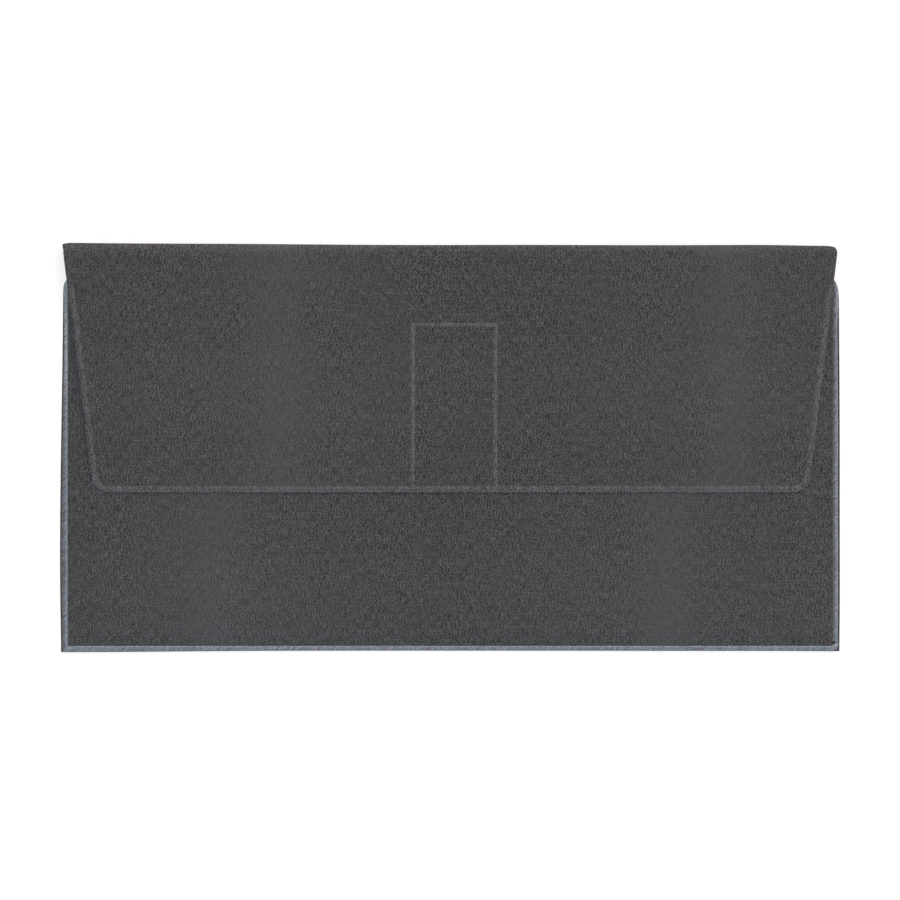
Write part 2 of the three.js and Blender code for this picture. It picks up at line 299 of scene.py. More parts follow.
def makeGrainGroup():
    group, given, result = newGroup("vinylGrain", "Press", "Grain", "Height", "StripesAndBands")
    places = split(given["Pattern"])

    def vectors(operation, first, second):
        return addNode("ShaderNodeVectorMath", {0: first, 1: second}, operation=operation).outputs[0]

    def moved(vector, *shifts):
        shift = addNode("ShaderNodeCombineXYZ", dict(enumerate(shifts))).outputs[0]
        return vectors("ADD", vector, shift)

    def sized(vector, size):
        return vectors("MULTIPLY", vector, (1 / size[0], 1 / size[1], 1.0))

    def centred(value, gain):
        return product(math2("SUBTRACT", value, 0.5), gain)

    def broken(vector, scale, detail):
        return noise(vector, scale, detail, vinylCut["noiseRough"])

    def swing(key, vector):
        gain, scale, detail = vinylCut[key]
        return centred(broken(vector, scale, detail), gain)

    def repeatWave(key, axis):
        at, repeat = vinylCut[key]
        return wave(math2("SUBTRACT", places[axis], at), repeat, "COSINE")

    pattern = moved(given["Pattern"], swing("sway", given["Pattern"]))
    elsewhere = vectors("ADD", pattern, vinylCut["apart"])
    bent = moved(pattern, swing("wander", pattern), swing("wander", elsewhere))
    scaled = sized(bent, vinylCut["cell"])
    cells = {"Vector": scaled, "Scale": 1.0, "Randomness": vinylCut["uneven"]}
    edge, cell = (
        addNode("ShaderNodeTexVoronoi", cells, voronoi_dimensions="2D", feature=feature).outputs
        for feature in ("DISTANCE_TO_EDGE", "F1")
    )
    upward = math2("ABSOLUTE", split(vectors("SUBTRACT", scaled, cell["Position"]))[1])
    wall = mapRange(edge["Distance"], 0.0, vinylCut["wall"], 1.0, 0.0, "SMOOTHSTEP")
    lower = mapRange(upward, *vinylCut["crossWall"])
    worn = mapRange(broken(pattern, *vinylCut["wornNoise"]), *vinylCut["wornWall"])
    walls = product(wall, lower, worn, vinylCut["wallGain"])
    relief = math2("SUBTRACT", walls, vinylCut["wallLevel"])
    for part in (
        centred(split(cell["Color"])[0], vinylCut["toneGain"]),
        swing("thread", sized(pattern, vinylCut["threadSize"])),
        swing("speck", sized(pattern, vinylCut["speckSize"])),
        swing("clump", pattern),
    ):
        relief = math2("ADD", relief, part)
    across, along = repeatWave("stripe", 0), repeatWave("band", 1)
    sharp = math2("POWER", across, vinylCut["stripeSharp"])
    stripe = mapRange(sharp, 0.0, 1.0, 1.0, vinylCut["stripeDepth"])
    band = mapRange(along, *vinylCut["bandEdge"], 0.0, vinylCut["bandShare"], "SMOOTHSTEP")
    roll = math2("ADD", product(across, 1 - vinylCut["bandShare"]), band)
    cloud = mapRange(broken(pattern, *vinylCut["cloudNoise"]), *vinylCut["cloud"])
    nearStripe = mapRange(across, 0.0, 1.0, *vinylCut["stripeGrain"])
    pressed = mapRange(given["Press"], 0.0, 1.0, 1.0, vinylCut["pressGrain"])
    relief = product(relief, product(stripe, cloud, nearStripe, pressed))
    raised = math2("ADD", relief, vinylCut["level"], clamp=True)
    grain = math2("POWER", raised, vinylCut["gamma"])
    for key, value in (("Grain", grain), ("Height", relief), ("StripesAndBands", roll)):
        group.links.new(value, result[key])
    return group


rubAndSheenCut = {"noise": (0.45, 4.0, 0.65), "broken": (0.38, 0.62, 0.35, 1.0)}


def makeRubAndSheenGroup():
    # broken-up mask for rubbed edges and for painted highlights
    group, given, result = newGroup("edgeRubAndSheen", "RubAndSheen", "Mask")
    broken = mapRange(noise(given["Pattern"], *rubAndSheenCut["noise"]), *rubAndSheenCut["broken"])
    group.links.new(product(broken, given["RubAndSheen"]), result["Mask"])
    return group


grainGroup, rubAndSheenGroup = makeGrainGroup(), makeRubAndSheenGroup()


def rubAndSheenMask(pattern):
    inputs = {"Pattern": pattern, "RubAndSheen": markOf("rubAndSheen")}
    return addNode("ShaderNodeGroup", inputs, node_tree=rubAndSheenGroup).outputs["Mask"]


coverLook = {
    "pit": (0.0154, 0.0147, 0.0162, 1), "ridge": (0.1278, 0.1278, 0.1341, 1),
    "stripeAndBandLift": 0.081,  # how much lighter the stripes and bands make the vinyl
    "pressed": (1.50, 1.50, 1.545, 1),  # how much lighter pressed vinyl is; the same lightening also paints light in places
    # the rubbed colour is also the colour of painted highlights
    "rubbedAndSheen": (0.160, 0.163, 0.174, 1), "shine": 0.22,
    "rough": (0.0, 1.0, 0.72, 0.54),  # from the pits to the ridges
    "bump": (0.35, 0.1),  # strength and depth
}
weldLook = {
    **coverLook,
    "stripeAndBandLift": 0.0, "rubbedAndSheen": (0.135, 0.137, 0.147, 1), "shine": 0.26, "rough": (0.0, 1.0, 0.6, 0.46),
    "bump": (0.25, 0.1),
}


def makeVinyl(name, look):
    material = newMaterial(name, look)
    pattern, press = flatPattern(), markOf("press")
    inputs = {"Pattern": pattern, "Press": press}
    grain = addNode("ShaderNodeGroup", inputs, node_tree=grainGroup).outputs
    colour = mixColour(grain["Grain"], look["pit"], look["ridge"])
    lifted = mixColour(look["stripeAndBandLift"], colour, look["ridge"])
    colour = mixColour(grain["StripesAndBands"], colour, lifted)
    # press marks pressed vinyl, and in places painted light
    colour = mixColour(press, colour, look["pressed"], "MULTIPLY")
    # rubbed edges, and painted highlights
    colour = mixColour(rubAndSheenMask(pattern), colour, look["rubbedAndSheen"])
    dress(look, grain["Grain"], grain["Height"], colour)
    return material


seamLook = {
    "gapShade": (0.058, 0.056, 0.062, 1),  # painted shade between the ribs
    "dim": (0.137, 0.140, 0.155, 1), "middle": (0.190, 0.244, 0.320, 1),
    "bright": (0.292, 0.300, 0.328, 1),
    "tones": ((-0.6, 0.0, "dim"), (0.0, 0.5, "middle"), (0.5, 1.0, "bright")),
    "paintedLight": (2.1, 1.95, 1.82, 1),  # painted light: how much lighter the weld is painted beside the mouth, where the flap shades it
    "speck": (1.9, 2.0),  # fine mottling per millimetre
    "dapple": (0.35, 0.65, 0.68, 1.32), "shine": 0.35, "rough": (0.3, 0.7, 0.5, 0.38),
    "bump": (0.2, 0.05),
}


def makeSeamVinyl():
    material = newMaterial("seamVinyl", seamLook)
    pattern = inMillimetres(addNode("ShaderNodeTexCoord").outputs["Object"])
    tone = markOf("tone")
    fleck = noise(pattern, *seamLook["speck"], dimensions="3D")
    colour = seamLook["gapShade"]
    for low, high, tint in seamLook["tones"]:
        colour = mixColour(mapRange(tone, low, high, 0.0, 1.0), colour, seamLook[tint])
    shade = mapRange(fleck, *seamLook["dapple"])
    dapple = addNode("ShaderNodeCombineXYZ", dict.fromkeys(range(3), shade)).outputs[0]
    colour = mixColour(1.0, colour, dapple, "MULTIPLY")
    # painted light on the upper ends of the beads, where the flap shades them
    colour = mixColour(markOf("paintedLight"), colour, seamLook["paintedLight"], "MULTIPLY")
    colour = mixColour(rubAndSheenMask(pattern), colour, seamLook["bright"])
    dress(seamLook, fleck, fleck, colour)
    return material


liningLook = {
    "thread": 0.7,  # pitch of the linen emboss
    "wander": 0.9,  # how far its threads stray
    "wanderNoise": (0.3, 2.0), "depth": 0.8, "mottleNoise": (0.05, 3.0),
    "mottle": (0.3, 0.7, 0.75, 1.2), "dark": (0.027, 0.0285, 0.0315, 1),
    "light": (0.078, 0.081, 0.087, 1), "shine": 0.25, "rough": (0.0, 0.8, 0.78, 0.6),
    "bump": (0.5, 0.06),
}


def makeLinenLining():
    material = newMaterial("linenLining", liningLook)
    pattern = flatPattern()
    stray = product(noise(pattern, *liningLook["wanderNoise"]), liningLook["wander"])
    parts = split(pattern)
    threads = [wave(math2("ADD", parts[axis], stray), liningLook["thread"]) for axis in (0, 1)]
    weave = product(math2("MAXIMUM", *threads), liningLook["depth"])
    mottled = mapRange(noise(pattern, *liningLook["mottleNoise"]), *liningLook["mottle"])
    share = product(weave, mottled)
    colour = mixColour(share, liningLook["dark"], liningLook["light"])
    dress(liningLook, weave, weave, colour)
    return material


filmLook = {
    "tint": (0.93, 0.95, 0.955, 1), "shine": 0.5,
    "bend": 1.45,  # of light
    "smudge": (0.06, 4.0), "scratch": (1.0, 3.0), "scratchRun": (0.06, 2.0, 1.0),
    "rough": (0.35, 0.7, 0.05, 0.22), "bump": (0.06, 0.05),
}


def makeClearFilm():
    material = newMaterial(
        "clearFilm", filmLook, Base_Color=filmLook["tint"], IOR=filmLook["bend"],
        Transmission_Weight=1.0,
    )
    pattern = flatPattern()
    drawn = addNode("ShaderNodeMapping", {0: pattern, 3: filmLook["scratchRun"]}).outputs[0]
    dress(filmLook, noise(pattern, *filmLook["smudge"]), noise(drawn, *filmLook["scratch"]))
    return material


filmWeldLook = {
    "low": (0.17, 0.18, 0.19, 1), "high": (0.34, 0.355, 0.37, 1), "pitch": 0.9,
    "ribTone": (0.0, 1.0, 0.45, 1.0), "fleck": (0.8, 3.0), "fleckTone": (0.3, 0.7, 0.6, 1.1),
    "shine": 0.45, "rough": (0.3, 0.7, 0.42, 0.26), "bump": (0.3, 0.08),
}


def makeFilmWeld():
    material = newMaterial("filmWeld", filmWeldLook)
    pattern = flatPattern()
    parts = split(pattern)
    ribbed = wave(math2("ADD", parts[0], parts[1]), filmWeldLook["pitch"])
    fleck = noise(pattern, *filmWeldLook["fleck"])
    tones = mapRange(ribbed, *filmWeldLook["ribTone"]), mapRange(fleck, *filmWeldLook["fleckTone"])
    colour = mixColour(product(*tones), filmWeldLook["low"], filmWeldLook["high"])
    dress(filmWeldLook, fleck, ribbed, colour)
    return material


grainedVinyl = makeVinyl("grainedVinyl", coverLook)
pressedVinyl = makeVinyl("pressedVinyl", weldLook)
seamVinyl = makeSeamVinyl()
linenLining = makeLinenLining()
clearFilm = makeClearFilm()
filmWeld = makeFilmWeld()
print("finishes made")

# Outlines, from these cuts and the CAD boxes
pocketCut = {
    "bow": 0.3,  # swell of each side at mid height
    "inside": 118.12,  # middle to the inside of the side welds
    "tuck": 0.16,  # how far the front sheet runs into the bottom weld
    "shoulder": 6.0,  # radius beside the mouth
    "side": 120.0,  # middle to side at the bottom corners
    "seam": 1.8,  # edge to the inside of the weld
    "rise": 12.0,  # strip over which the front sheet climbs
    "mouthGap": 0.1,  # from the front sheet's corners to the shoulder
    "leftTrim": (-0.4, (0.76, 40, -42), (-0.1, -44, -60)),  # trimmed slightly askew
    "rightTrim": (0.05, (0.2, -15, -55), (-0.2, 46, 50)),  # and a touch wide low down
    "trimEnd": (51.5, 48.5),  # both run out towards the neck
    "bottomTrim": (0.17, (-0.09, 0, 90), (-0.09, 0, -90), (-0.08, 95, 118), (-0.4, -50, -122)),
}
flapCut = {
    "foldHalf": 119.6,  # half width at the fold
    "taper": 9.1 / 76.2, "corner": 4.8,
    "weld": 1.78,  # width of the pressed edge
    "weldFade": (53.25, 47.75),  # the pressed edge fades out upwards
    "trim": (0, (0.36, 6, 22)),  # taken off the left side, below the neck
    "cornerTrim": (0, (0.3, -4, 3)),  # and at its corner
    "trimSide": (-60, -112),
    "droop": (0, (0.5, 100, 117)),  # how far the long sides hang
    "lift": (0, (0.18, 44, 76)),  # how far the free edge stands up
    "free": (0, 34),  # the fold keeps the flap straight at its upper end
    "ripple": 0.05, "ripplePhase": 0.7,
}
backLow, backHigh = nodeBox("back_cover")
frontLow, frontHigh = nodeBox("front_cover")
spineLow, spineHigh = nodeBox("spine_cover")
backLiningLow, backLiningHigh = nodeBox("back_lining")
coverThick = backHigh[2] - backLow[2]
bottomEdge, neckEnd = backLow[1], backHigh[1]
innerBottom, mouth = frontLow[1] - pocketCut["tuck"], frontHigh[1]
foldEdge, foldTop = spineHigh[1], spineHigh[2]
foldMiddle = (spineLow[2] + spineHigh[2]) / 2
creaseY, creaseZ = spineLow[1], spineHigh[1] - spineLow[1]
shoulderStart = mouth - pocketCut["shoulder"]
shoulderX = pocketCut["side"] - pocketCut["shoulder"]
innerSide = pocketCut["inside"]
flapEnd = nodeBox("flap_weld")[0][1]
flapAngle = math.atan(flapCut["taper"])


def bowAt(y):
    share = np.clip((np.asarray(y, float) - innerBottom) / (shoulderStart - innerBottom), 0, 1)
    return 4 * pocketCut["bow"] * share * (1 - share)


def sideTrim(y, side):
    trim = pocketCut["leftTrim" if side < 0 else "rightTrim"]
    return eased(y, *trim) * ease(y, *pocketCut["trimEnd"])


def bottomTrim(x):
    return eased(x, *pocketCut["bottomTrim"])


def shoulderAt(y):
    rise = np.clip(np.asarray(y, float) - shoulderStart, 0, pocketCut["shoulder"])
    return shoulderX + np.sqrt(pocketCut["shoulder"] ** 2 - rise**2)


def flapHalf(y):
    return flapCut["foldHalf"] - flapCut["taper"] * (foldEdge - np.asarray(y, float))


def backHalf(y, side):
    y = np.asarray(y, float)
    rounded = np.maximum(shoulderAt(y) + sideTrim(y, side), flapHalf(y))
    return np.where(y < shoulderStart, pocketCut["side"] + bowAt(y) + sideTrim(y, side), rounded)


def frontHalf(y):
    return np.minimum(innerSide, shoulderAt(y) - pocketCut["mouthGap"])


cornerY = flapEnd + flapCut["corner"]
cornerX = float(flapHalf(cornerY)) - flapCut["corner"] / math.cos(flapAngle)


def flapInsetHalf(y, inset):
    y = np.asarray(y, float)
    radius = flapCut["corner"] - inset
    side = flapHalf(y) - inset / math.cos(flapAngle)
    turnY = cornerY - radius * math.sin(flapAngle)
    rounded = cornerX + np.sqrt(np.clip(radius**2 - (y - cornerY) ** 2, 0, None))
    return np.where(y >= turnY, side, rounded)


def flapTrim(x, y):
    taken = eased(neckEnd - y, *flapCut["trim"]) + eased(cornerY - y, *flapCut["cornerTrim"])
    return x + ease(x, *flapCut["trimSide"]) * taken


def flapHang(x, y):
    # the flap hangs a little at its long sides and ripples slightly, and is straight at the fold
    below = neckEnd - y
    loose = flapCut["ripple"] * ripple(x, y, flapCut["ripplePhase"]) - eased(np.abs(x), *flapCut["droop"])
    return loose * ease(below, *flapCut["free"]) + eased(below, *flapCut["lift"])


foldLook = {
    "highLeft": 0.69,  # the fold climbs towards its left end
    "climbOver": 118, "climbBend": 1.3,
    "lowRight": (0, (0.3, 92, 120)),  # and falls away at its right end
    "cornerDip": (0, (0.45, 0.981, 1.006)),
    "leftIn": 0.12,  # how far its ends draw in
    "rightIn": 0.8, "rightBend": 1.2,
    "endSharp": 8,  # the higher, the closer to its ends
    "settle": 0.06, "waver": 0.04, "waverLong": 13,
    "press": (0.08, 0.4, 0.34),  # how much lighter: on the sheet, more on the bend and more again on the crest, partly stretched vinyl and partly a painted highlight
    "bendPast": 0.06, "rubAndSheen": 0.022, "steps": 14, "straightSteps": 3, "columns": 121,
    "crowd": 0.3,
}


def foldPath(radius):
    # half of the fold's section, from the sheet to the middle of the spine, with its inward normal
    angles, flat = np.linspace(0, quarter, foldLook["steps"]), foldLook["straightSteps"]
    straight = np.linspace(creaseZ, foldMiddle, flat + 1)[1:]
    y = np.concatenate([[neckEnd], creaseY + radius * np.sin(angles), np.full(flat, creaseY + radius)])
    z = np.concatenate([[creaseZ - radius], creaseZ - radius * np.cos(angles), straight])
    normalY = np.concatenate([[0], -np.sin(angles), np.full(flat, -1.0)])
    normalZ = np.concatenate([[1], np.cos(angles), np.zeros(flat)])
    length = np.concatenate([[0], np.cumsum(np.hypot(np.diff(y), np.diff(z)))])
    return y, z, normalY, normalZ, length


coverRadius = creaseZ - coverThick / 2
foldLength = 2 * foldPath(coverRadius)[4][-1]


def foldHalfMesh(name, radius, thick, upperHalf):
    y, z, normalY, normalZ, length = foldPath(radius)
    turned = ease(y, creaseY, creaseY + radius)
    columns = crowded(foldLook["columns"], foldLook["crowd"])
    half = flapHalf(np.maximum(y, neckEnd))
    rounded = np.clip((y - neckEnd) / (creaseY + radius - neckEnd), 0, 1)[:, None] ** foldLook["rightBend"]
    drawnIn = np.where(columns > 0, foldLook["rightIn"] * rounded, foldLook["leftIn"] * turned[:, None])
    x = half[:, None] * columns - drawnIn * columns ** foldLook["endSharp"]
    climb = foldLook["highLeft"] * np.clip(-x / foldLook["climbOver"], 0, 2) ** foldLook["climbBend"]
    fall = eased(x, *foldLook["lowRight"]) + eased(np.abs(columns), *foldLook["cornerDip"])
    waver = foldLook["waver"] * np.sin(x / foldLook["waverLong"])
    shift = (climb - fall - foldLook["settle"] + waver) * turned[:, None]

    def face(offset):
        faceZ = np.broadcast_to((z + normalZ * offset)[:, None], x.shape)
        faceY = (y + normalY * offset)[:, None] + shift
        return level(x, faceY, 2 * foldMiddle - faceZ if upperHalf else faceZ)

    along = neckEnd + (foldLength - length if upperHalf else length)
    pattern = np.stack(np.broadcast_arrays(x, along[:, None]), -1)
    plain, bend, top = foldLook["press"]
    # lighter on the bend and the crest, partly a painted highlight
    lit = plain + bend * ease(y, neckEnd, creaseY + foldLook["bendPast"]) + top * turned
    crest, rubAndSheen = (np.broadcast_to(mark[:, None], x.shape) for mark in (lit, foldLook["rubAndSheen"] * turned))
    inside, outside = face(thick / 2), face(-thick / 2)
    if upperHalf:  # rows run back from the spine, so that faces still point outwards
        inside, outside, pattern, crest, rubAndSheen = (a[::-1] for a in (inside, outside, pattern, crest, rubAndSheen))
    return sheetMesh(name, inside, outside, pattern, {"press": crest, "rubAndSheen": rubAndSheen})


# Back sheet, with its grained side down
backSheet = {
    "columns": 121, "bottomSpacing": 0.6, "spacing": 2.4,
    "neckRows": ((46, 0.4), (54, 1.1)),  # closer rows round the shoulders
    "trimStrip": 2,  # the bottom's wander ends this far above the weld
    "rim": 0.05,
}


def makeBackSheet():
    ys = stations(neckEnd, (bottomEdge, backSheet["bottomSpacing"]), (innerBottom, backSheet["spacing"]),
                  *backSheet["neckRows"])
    left, right = -backHalf(ys, -1)[:, None], backHalf(ys, 1)[:, None]
    x = left + (right - left) * np.linspace(0, 1, backSheet["columns"])
    y = ys[:, None] + bottomTrim(x) * ease(ys, innerBottom + backSheet["trimStrip"], bottomEdge)[:, None]
    return sheetPiece("backSheet", x, y, coverThick, 0, grainedVinyl, rim=backSheet["rim"])


# Front sheet, filled out by the papers it holds
frontSheet = {
    "columns": 161, "crowd": 0.25, "spacing": 2.0,
    "bottomRows": (14, 0.8),  # how far up the rows are closer, and how close
    "edgeRows": (-1.4, 1.6, 0.2),  # round the flap's free edge
    "mouthRows": (46, 0.5), "ripple": 0.08, "ripplePhase": 2.1,
    "soft": 22,  # strip over which the ripple comes in
    "cutAt": (19.4, 281.3),  # where it was cut from the roll
    # painted light: the slopes by the bottom and by the sides are painted lighter against their shade
    "bottomShadeLift": (0, (0.24, 13, 4)), "sideShadeLift": (0, (0.12, 12, 0)),
    "paintedLight": (0, (0.3, -1.2, -0.5), (-0.3, 0, 1.5)),  # painted light: a lighter line along the flap's free edge, mostly just below it, lifting its shadow
    "mouthRub": (0, (0.12, -0.8, 0)), "rim": 0.05,
}


def makeFrontSheet():
    def climb(distance):
        return np.sin(quarter * np.clip(distance / pocketCut["rise"], 0, 1))

    spacing, (strip, closer) = frontSheet["spacing"], frontSheet["bottomRows"]
    edgeLow, edgeHigh, closest = frontSheet["edgeRows"]
    ys = stations(mouth, (innerBottom, closer), (innerBottom + strip, spacing), (flapEnd + edgeLow, closest),
                  (flapEnd + edgeHigh, spacing), frontSheet["mouthRows"])
    x = frontHalf(ys)[:, None] * crowded(frontSheet["columns"], frontSheet["crowd"])
    y = np.broadcast_to(ys[:, None], x.shape)
    fromSide, fromBottom = innerSide - np.abs(x), y - innerBottom
    rim, crown = frontLow[2], frontHigh[2] - coverThick
    soft = ease(fromSide, 0, frontSheet["soft"]) * ease(fromBottom, 0, frontSheet["soft"])
    waves = frontSheet["ripple"] * ripple(x, y, frontSheet["ripplePhase"]) * soft
    under = rim + (crown - rim) * climb(fromSide) * climb(fromBottom) + waves
    pattern = np.stack([x, y], -1) + np.array(frontSheet["cutAt"])
    # painted light over the shade on the slopes
    slopeShadeLift = np.maximum(
        eased(fromBottom, *frontSheet["bottomShadeLift"]), eased(fromSide, *frontSheet["sideShadeLift"]),
    )
    marks = {
        # painted light along the flap's free edge
        "press": slopeShadeLift + eased(y - flapEnd, *frontSheet["paintedLight"]),
        "rubAndSheen": eased(y - mouth, *frontSheet["mouthRub"]),
    }
    top = under + coverThick
    return sheetPiece("frontSheet", x, y, top, under, grainedVinyl, pattern, marks, frontSheet["rim"])


# Flap sheet inside its pressed edge, with the raised line frame
flapSheet = {
    "frameLeft": -12.15, "frameRight": 14.45, "frameTop": 38.55, "frameLine": 1.1,
    # by distance from the middle of the frame's lines
    "frameHeight": (0, (0.2, 0.62, 0.15)), "framePress": (0, (1, 0.77, 0.45)),
    "frameRub": (0, (0.08, 0.78, 0.5)), "paintedHighlight": (0, (0.38, 0.3, 0)),
    "highlightShift": (0.3, 0.25),  # from the middle of a line to its painted highlight, on the side towards the lamp
    # painted light: a lighter strip at the neck, over the shade where the flap sheet meets the fold
    "neckLift": (0, (0.2, -1, 0)),
    "steady": 22.0,  # columns inside this half width stand straight
    "columns": 58, "rowEnds": (1.3, 0.7), "rowSpacing": 1.7, "columnSpacing": 1.6,
    "liningSpacing": 2.2, "liningInset": 0.05,
    "ridgeReach": 1.65,  # closer lines on both sides of the frame's, in half line widths
    "ridgeSteps": 15, "ridgeGap": 0.3, "cornerSteps": 9,
}
halfLine = flapSheet["frameLine"] / 2
frameLeft, frameRight = flapSheet["frameLeft"] + halfLine, flapSheet["frameRight"] - halfLine
frameTop = flapSheet["frameTop"] - halfLine


def frameDistance(x, y):
    below = np.maximum(y - frameTop, 0)
    beyond = np.maximum(np.maximum(frameLeft - x, x - frameRight), 0)
    sides = [np.maximum(np.abs(x - line), below) for line in (frameLeft, frameRight)]
    return np.minimum.reduce([*sides, np.maximum(np.abs(y - frameTop), beyond)])


def ridgeStations(places, low, high, spacing):
    reach = flapSheet["ridgeReach"] * halfLine
    steps = np.linspace(-reach, reach, flapSheet["ridgeSteps"])
    fine = [place + step for place in places for step in steps]
    coarse = [place for place in np.arange(low, high + spacing / 2, spacing)
              if min(abs(place - near) for near in places) > reach + flapSheet["ridgeGap"]]
    return np.array(sorted(fine + coarse))


def flapGrid(inset, ridges):
    radius, wide = flapCut["corner"] - inset, flapSheet["steady"]
    angles = np.linspace(0, quarter - flapAngle, flapSheet["cornerSteps"])
    corner = cornerY - radius * np.cos(angles)
    lowGap, highGap = flapSheet["rowEnds"]
    low, high = cornerY - radius * math.sin(flapAngle) + lowGap, neckEnd - highGap
    if ridges:
        upper = ridgeStations([frameTop], low, high, flapSheet["rowSpacing"])
        steady = ridgeStations([frameLeft, frameRight], -wide, wide, flapSheet["columnSpacing"])
    else:
        upper = np.arange(low, high, flapSheet["liningSpacing"])
        steady = np.arange(-wide, wide + 0.1, flapSheet["liningSpacing"])
    ys = np.concatenate([corner, upper, [neckEnd]])
    reach = flapInsetHalf(ys, inset)[:, None]
    share = np.linspace(0, 1, flapSheet["columns"])[1:]
    right = steady[-1] + (reach - steady[-1]) * share
    left = -(-steady[0] + (reach + steady[0]) * share)
    middle = np.broadcast_to(steady, (len(ys), len(steady)))
    x = np.concatenate([left[:, ::-1], middle, right], 1)
    y = np.broadcast_to(ys[:, None], x.shape)
    return flapTrim(x, y), y


def flapPattern(x, y):
    return np.stack([x, neckEnd + foldLength + (neckEnd - y)], -1)


def makeFlapSheet():
    x, y = flapGrid(flapCut["weld"], True)
    lineDistance, litX, litY = frameDistance(x, y), *flapSheet["highlightShift"]
    worn = eased(lineDistance, *flapSheet["frameRub"])
    # painted highlight on the side of each line that faces the lamp
    worn = worn + eased(frameDistance(x - litX, y - litY), *flapSheet["paintedHighlight"])
    # pressed lines, and painted light at the neck
    press = eased(lineDistance, *flapSheet["framePress"]) + eased(y - neckEnd, *flapSheet["neckLift"])
    height = foldTop + flapHang(x, y)
    upper = height + eased(lineDistance, *flapSheet["frameHeight"])
    marks = {"press": press, "rubAndSheen": worn}
    return sheetPiece("flapSheet", x, y, upper, height - coverThick, grainedVinyl, flapPattern(x, y), marks)


def makeFlapLining():
    low, high = nodeBox("flap_lining")
    x, y = flapGrid(flapCut["weld"] + flapSheet["liningInset"], False)
    hang = flapHang(x, y)
    return sheetPiece("flapLining", x, y, high[2] + hang, low[2] + hang, linenLining, flapPattern(x, y))


def edgeGrid(insets, corner, centreX, bottom, top, lean, sideOf, steps):
    # one line per inset: down the left side, along the bottom and up the right side
    down, turn, flat = steps
    angles = np.linspace(lean, quarter, turn)
    straight = np.linspace(-1, 1, flat)[1:-1] * centreX
    lines = []
    for inset in insets:
        turnX = centreX + (corner - inset) * np.cos(angles)
        turnY = bottom + corner - (corner - inset) * np.sin(angles)
        sideY = top + (turnY[0] - top) * np.linspace(0, 1, down)[:-1]
        sideX = sideOf(sideY) - inset / math.cos(lean)
        low = np.full(len(straight), bottom + inset)
        x = np.concatenate([-sideX, -turnX, straight, turnX[::-1], sideX[::-1]])
        lines.append((x, np.concatenate([sideY, turnY, low, turnY[::-1], sideY[::-1]])))
    return [np.stack(part, 1) for part in zip(*lines)]


weldCut = {
    "insets": (1.78, 1.66, 1.46, 1.2, 0.9, 0.6, 0.35, 0.12, -0.1), "press": 0.1,
    "step": 0.2,  # where it goes down into the press
    "roundOff": 0.2, "roundStrip": 0.45, "underRound": 0.6, "curl": 0.2, "curlDown": (2, 30),
    "spread": (0, (0.12, 1.5, 0)),  # the free edge has spread under the die
    # lighter along the outer edge, partly wear and partly a painted highlight, and lighter along the step
    # down into the press
    "edgeRubAndSheen": (0, (0.05, 0.5, 0.05)), "stepLightening": 0.6, "pressTone": (0.85, 0.15),
    "sides": (3, 8),  # above the free edge, where the looks of the sides begin
    "leftPale": (0, (0.6, 1.0, 0.1)), "rightPale": (0, (0.65, 1.05, 1.5)), "sideRub": 0.8,
    "steps": (52, 12, 122),  # down a side, round a corner and along the free edge
    "rim": 0.04,
}


def makeFlapWeld():
    low, insets = nodeBox("flap_lining")[0][2], np.array(weldCut["insets"])
    x, y = edgeGrid(insets, flapCut["corner"], cornerX, flapEnd, neckEnd, flapAngle, flapHalf,
                    weldCut["steps"])
    x = flapTrim(x, y)
    y[:, -1] -= eased(y[:, -1] - flapEnd, *weldCut["spread"])
    pressed = ease(y, *flapCut["weldFade"])
    sunk = weldCut["press"] * pressed
    drop = weldCut["roundOff"] * np.clip(1 - insets / weldCut["roundStrip"], 0, 1) ** 2
    step = ease(flapCut["weld"] - insets, 0, weldCut["step"])
    curl = weldCut["curl"] * (1 - np.maximum(insets, 0) / flapCut["weld"]) ** 2
    hang = flapHang(x, y) - curl * ease(neckEnd - y, *weldCut["curlDown"])
    # lighter along the step, and along the outer edge with wear and a painted highlight
    rubAndSheen = (eased(insets, *weldCut["edgeRubAndSheen"]) + weldCut["stepLightening"] * (1 - step)) * pressed
    along = ease(y - flapEnd, *weldCut["sides"])
    pale = np.where(x < 0, eased(insets, *weldCut["leftPale"]), eased(insets, *weldCut["rightPale"]))
    tone, stepTone = weldCut["pressTone"]
    marks = {
        "press": pressed * (tone + stepTone * step) * (1 - along * pale),
        "rubAndSheen": rubAndSheen * (1 - weldCut["sideRub"] * along),
    }
    upper, lower = foldTop - sunk * step - drop + hang, low + sunk + weldCut["underRound"] * drop + hang
    return sheetPiece(
        "flapWeld", x, y, upper, lower, pressedVinyl, flapPattern(x, y), marks, weldCut["rim"],
    )


# Lining on the back sheet
backLining = {"columns": 101, "spacing": 2.4, "neckRows": ((50, 0.5), (53.5, 1.2)), "neck": (52.3, 52.9)}


def makeBackLining():
    ys = stations(neckEnd, (backLiningLow[1], backLining["spacing"]), *backLining["neckRows"])
    neck = ease(ys, *backLining["neck"])
    half = innerSide * (1 - neck) + flapHalf(ys) * neck
    x = half[:, None] * np.linspace(-1, 1, backLining["columns"])
    y = np.broadcast_to(ys[:, None], x.shape)
    return sheetPiece("backLining", x, y, backLiningHigh[2], backLiningLow[2], linenLining)


